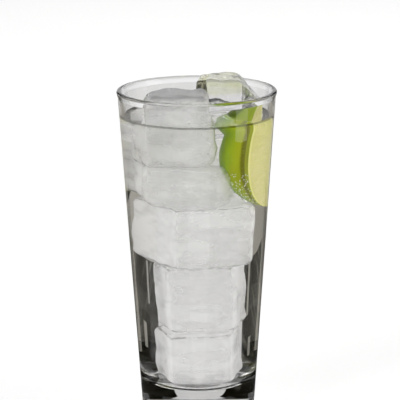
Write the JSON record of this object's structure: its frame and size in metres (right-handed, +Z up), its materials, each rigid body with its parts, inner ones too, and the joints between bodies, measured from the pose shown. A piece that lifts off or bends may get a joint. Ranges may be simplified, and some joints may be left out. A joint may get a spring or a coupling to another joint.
{
  "type": "highball glass of clear mixed drink with ice and lime",
  "caption": "Tall tapered tumbler with a thick base, filled with a clear drink, stacked ice and a lime wedge by the rim.",
  "frame": {"origin": "centre of the foot, on the surface that the glass stands on", "axes": "+Z up along the glass's axis, -Y towards the drinker, +X to the side where the lime stands"},
  "size_m": [0.0758, 0.0758, 0.1635],
  "materials": {
    "glass": "clear fire-polished soda-lime glass",
    "drink": "clear, nearly colourless sparkling drink",
    "ice": "cloudy wet ice with clear edges",
    "lime": "waxy green rind over pale juicy flesh"
  },
  "bodies": {
    "root": {"glass": "glass", "drink": "drink", "lime_wedge": "lime", "ice_left": "ice", "ice_right": "ice"}
  },
  "joints": []
}
